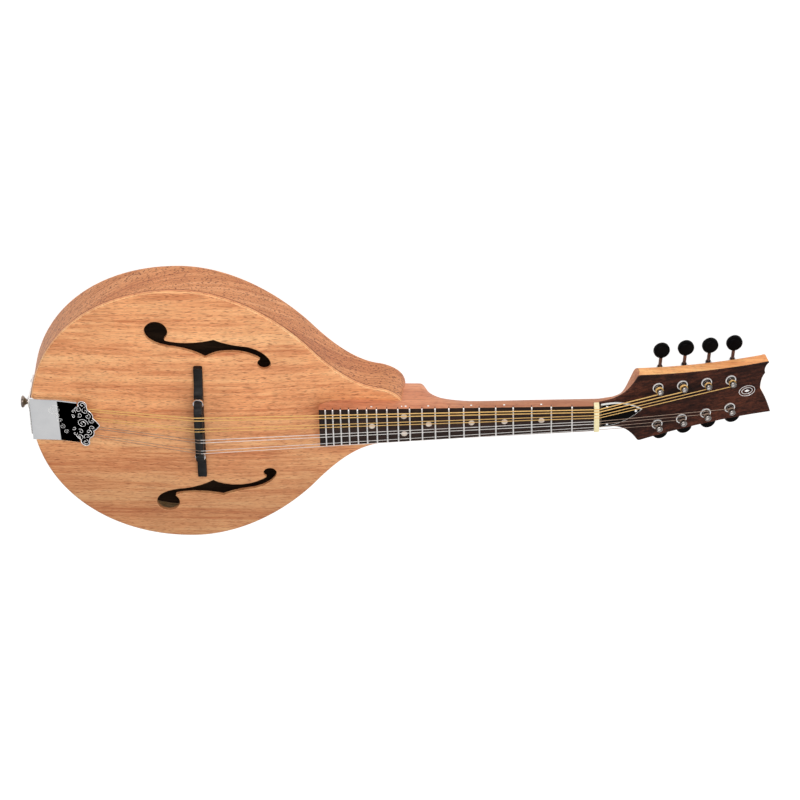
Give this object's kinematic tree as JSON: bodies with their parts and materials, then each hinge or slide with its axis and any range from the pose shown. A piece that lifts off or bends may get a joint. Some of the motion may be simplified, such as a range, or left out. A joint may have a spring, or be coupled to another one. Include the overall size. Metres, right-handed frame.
{
  "type": "mandolin",
  "caption": "A-style mandolin with a carved top, f-holes, a floating bridge on thumbwheels, a covered tailpiece and geared tuners.",
  "frame": {"origin": "on the outer face of the back, on the centre line, below the point of the bridge where the scale length ends", "axes": "+X runs along the neck to the headstock, +Y to the bass strings, +Z out of the top; the instrument lies on its back"},
  "size_m": [0.6773, 0.2784, 0.0881],
  "materials": {
    "body_mahogany": "satin open-pore mahogany, ribbon grain along the body",
    "neck_mahogany": "satin mahogany, redder than the body",
    "inner_wood": "raw pale wood inside the body",
    "rosewood": "dark streaked rosewood, oiled",
    "ebony": "near-black polished ebony",
    "bone": "cream moulded nut",
    "chrome": "bright polished",
    "steel": "bright plain steel",
    "bronze_wound": "bronze winding on a steel core",
    "black_metal": "dark nickel plate",
    "black_plastic": "polished black moulding"
  },
  "bodies": {
    "root": {"top_plate": "body_mahogany", "back_plate": "body_mahogany", "rim_bass": "body_mahogany", "rim_treble": "body_mahogany", "tail_block": "inner_wood", "neck_block": "inner_wood", "top_lining": "inner_wood", "back_lining": "inner_wood", "tone_bar_bass": "inner_wood", "tone_bar_treble": "inner_wood", "neck": "neck_mahogany", "headstock_veneer": "rosewood", "fingerboard": "rosewood", "nut": "bone", "truss_rod": "steel", "truss_rod_cover": "black_plastic", "bridge_base": "ebony", "bridge_stud_bass": "steel", "bridge_stud_treble": "steel", "tailpiece_bracket": "chrome", "strap_button": "chrome", "tuner_plate_bass": "steel", "tuner_plate_treble": "steel", "string_g_outer": "bronze_wound", "string_g_inner": "bronze_wound", "string_d_outer": "bronze_wound", "string_d_inner": "bronze_wound", "string_a_outer": "steel", "string_a_inner": "steel", "string_e_outer": "steel", "string_e_inner": "steel"},
    "worm_bass_1": {"tuner_worm_bass_1": "black_metal", "tuner_button_bass_1": "black_plastic"},
    "post_bass_1": {"tuner_post_bass_1": "chrome"},
    "worm_bass_2": {"tuner_worm_bass_2": "black_metal", "tuner_button_bass_2": "black_plastic"},
    "post_bass_2": {"tuner_post_bass_2": "chrome"},
    "worm_bass_3": {"tuner_worm_bass_3": "black_metal", "tuner_button_bass_3": "black_plastic"},
    "post_bass_3": {"tuner_post_bass_3": "chrome"},
    "worm_bass_4": {"tuner_worm_bass_4": "black_metal", "tuner_button_bass_4": "black_plastic"},
    "post_bass_4": {"tuner_post_bass_4": "chrome"},
    "worm_treble_1": {"tuner_worm_treble_1": "black_metal", "tuner_button_treble_1": "black_plastic"},
    "post_treble_1": {"tuner_post_treble_1": "chrome"},
    "worm_treble_2": {"tuner_worm_treble_2": "black_metal", "tuner_button_treble_2": "black_plastic"},
    "post_treble_2": {"tuner_post_treble_2": "chrome"},
    "worm_treble_3": {"tuner_worm_treble_3": "black_metal", "tuner_button_treble_3": "black_plastic"},
    "post_treble_3": {"tuner_post_treble_3": "chrome"},
    "worm_treble_4": {"tuner_worm_treble_4": "black_metal", "tuner_button_treble_4": "black_plastic"},
    "post_treble_4": {"tuner_post_treble_4": "chrome"},
    "saddle": {"bridge_saddle": "ebony"},
    "wheel_bass": {"thumbwheel_bass": "chrome"},
    "wheel_treble": {"thumbwheel_treble": "chrome"},
    "cover": {"tailpiece_cover": "chrome"},
    "rod_nut": {"truss_rod_nut": "steel"}
  },
  "joints": [
    {"name": "worm_bass_1_turn", "type": "hinge", "parent": "root", "child": "worm_bass_1", "pos_m": [0.40873, 0.02019, 0.0029], "axis": [0.0707, 0.9973, -0.019], "continuous": true},
    {"name": "post_bass_1_turn", "type": "hinge", "parent": "root", "child": "post_bass_1", "pos_m": [0.40716, 0.0207, 0.02402], "axis": [0.2588, 0, 0.9659], "continuous": true},
    {"name": "worm_bass_2_turn", "type": "hinge", "parent": "root", "child": "worm_bass_2", "pos_m": [0.43066, 0.01852, -0.00298], "axis": [0.0707, 0.9973, -0.019], "continuous": true},
    {"name": "post_bass_2_turn", "type": "hinge", "parent": "root", "child": "post_bass_2", "pos_m": [0.4291, 0.01903, 0.01815], "axis": [0.2588, 0, 0.9659], "continuous": true},
    {"name": "worm_bass_3_turn", "type": "hinge", "parent": "root", "child": "worm_bass_3", "pos_m": [0.4526, 0.01685, -0.00886], "axis": [0.0707, 0.9973, -0.019], "continuous": true},
    {"name": "post_bass_3_turn", "type": "hinge", "parent": "root", "child": "post_bass_3", "pos_m": [0.45103, 0.01736, 0.01227], "axis": [0.2588, 0, 0.9659], "continuous": true},
    {"name": "worm_bass_4_turn", "type": "hinge", "parent": "root", "child": "worm_bass_4", "pos_m": [0.47453, 0.01518, -0.01473], "axis": [0.0707, 0.9973, -0.019], "continuous": true},
    {"name": "post_bass_4_turn", "type": "hinge", "parent": "root", "child": "post_bass_4", "pos_m": [0.47297, 0.0157, 0.00639], "axis": [0.2588, 0, 0.9659], "continuous": true},
    {"name": "worm_treble_1_turn", "type": "hinge", "parent": "root", "child": "worm_treble_1", "pos_m": [0.40873, -0.02019, 0.0029], "axis": [-0.0707, 0.9973, 0.019], "continuous": true},
    {"name": "post_treble_1_turn", "type": "hinge", "parent": "root", "child": "post_treble_1", "pos_m": [0.40716, -0.0207, 0.02402], "axis": [0.2588, 0, 0.9659], "continuous": true},
    {"name": "worm_treble_2_turn", "type": "hinge", "parent": "root", "child": "worm_treble_2", "pos_m": [0.43066, -0.01852, -0.00298], "axis": [-0.0707, 0.9973, 0.019], "continuous": true},
    {"name": "post_treble_2_turn", "type": "hinge", "parent": "root", "child": "post_treble_2", "pos_m": [0.4291, -0.01903, 0.01815], "axis": [0.2588, 0, 0.9659], "continuous": true},
    {"name": "worm_treble_3_turn", "type": "hinge", "parent": "root", "child": "worm_treble_3", "pos_m": [0.4526, -0.01685, -0.00886], "axis": [-0.0707, 0.9973, 0.019], "continuous": true},
    {"name": "post_treble_3_turn", "type": "hinge", "parent": "root", "child": "post_treble_3", "pos_m": [0.45103, -0.01736, 0.01227], "axis": [0.2588, 0, 0.9659], "continuous": true},
    {"name": "worm_treble_4_turn", "type": "hinge", "parent": "root", "child": "worm_treble_4", "pos_m": [0.47453, -0.01518, -0.01473], "axis": [-0.0707, 0.9973, 0.019], "continuous": true},
    {"name": "post_treble_4_turn", "type": "hinge", "parent": "root", "child": "post_treble_4", "pos_m": [0.47297, -0.0157, 0.00639], "axis": [0.2588, 0, 0.9659], "continuous": true},
    {"name": "saddle_lift", "type": "slide", "parent": "root", "child": "saddle", "axis": [0, 0, 1], "range_m": [-0.002, 0.002], "deforming": ["string_g_outer", "string_g_inner", "string_d_outer", "string_d_inner", "string_a_outer", "string_a_inner", "string_e_outer", "string_e_inner"]},
    {"name": "wheel_bass_turn", "type": "hinge", "parent": "saddle", "child": "wheel_bass", "pos_m": [-0.00198, 0.03, 0.0598], "axis": [0, 0, 1], "range_deg": [-901, 901]},
    {"name": "wheel_treble_turn", "type": "hinge", "parent": "saddle", "child": "wheel_treble", "pos_m": [-0.00302, -0.03, 0.0598], "axis": [0, 0, 1], "range_deg": [-901, 901]},
    {"name": "cover_slide", "type": "slide", "parent": "root", "child": "cover", "axis": [0.9806, 0, 0.1961], "range_m": [0, 0.045]},
    {"name": "rod_nut_turn", "type": "hinge", "parent": "root", "child": "rod_nut", "pos_m": [0.36042, 0, 0.0322], "axis": [0.9984, 0, -0.0558], "range_deg": [-180, 180]}
  ],
  "couplings": [
    {"joint": "post_bass_1_turn", "follows": "worm_bass_1_turn", "ratio": -0.071429},
    {"joint": "post_bass_2_turn", "follows": "worm_bass_2_turn", "ratio": -0.071429},
    {"joint": "post_bass_3_turn", "follows": "worm_bass_3_turn", "ratio": -0.071429},
    {"joint": "post_bass_4_turn", "follows": "worm_bass_4_turn", "ratio": -0.071429},
    {"joint": "post_treble_1_turn", "follows": "worm_treble_1_turn", "ratio": -0.071429},
    {"joint": "post_treble_2_turn", "follows": "worm_treble_2_turn", "ratio": -0.071429},
    {"joint": "post_treble_3_turn", "follows": "worm_treble_3_turn", "ratio": -0.071429},
    {"joint": "post_treble_4_turn", "follows": "worm_treble_4_turn", "ratio": -0.071429},
    {"joint": "wheel_bass_turn", "follows": "saddle_lift", "rad_per_m": 7854},
    {"joint": "wheel_treble_turn", "follows": "saddle_lift", "rad_per_m": 7854}
  ]
}
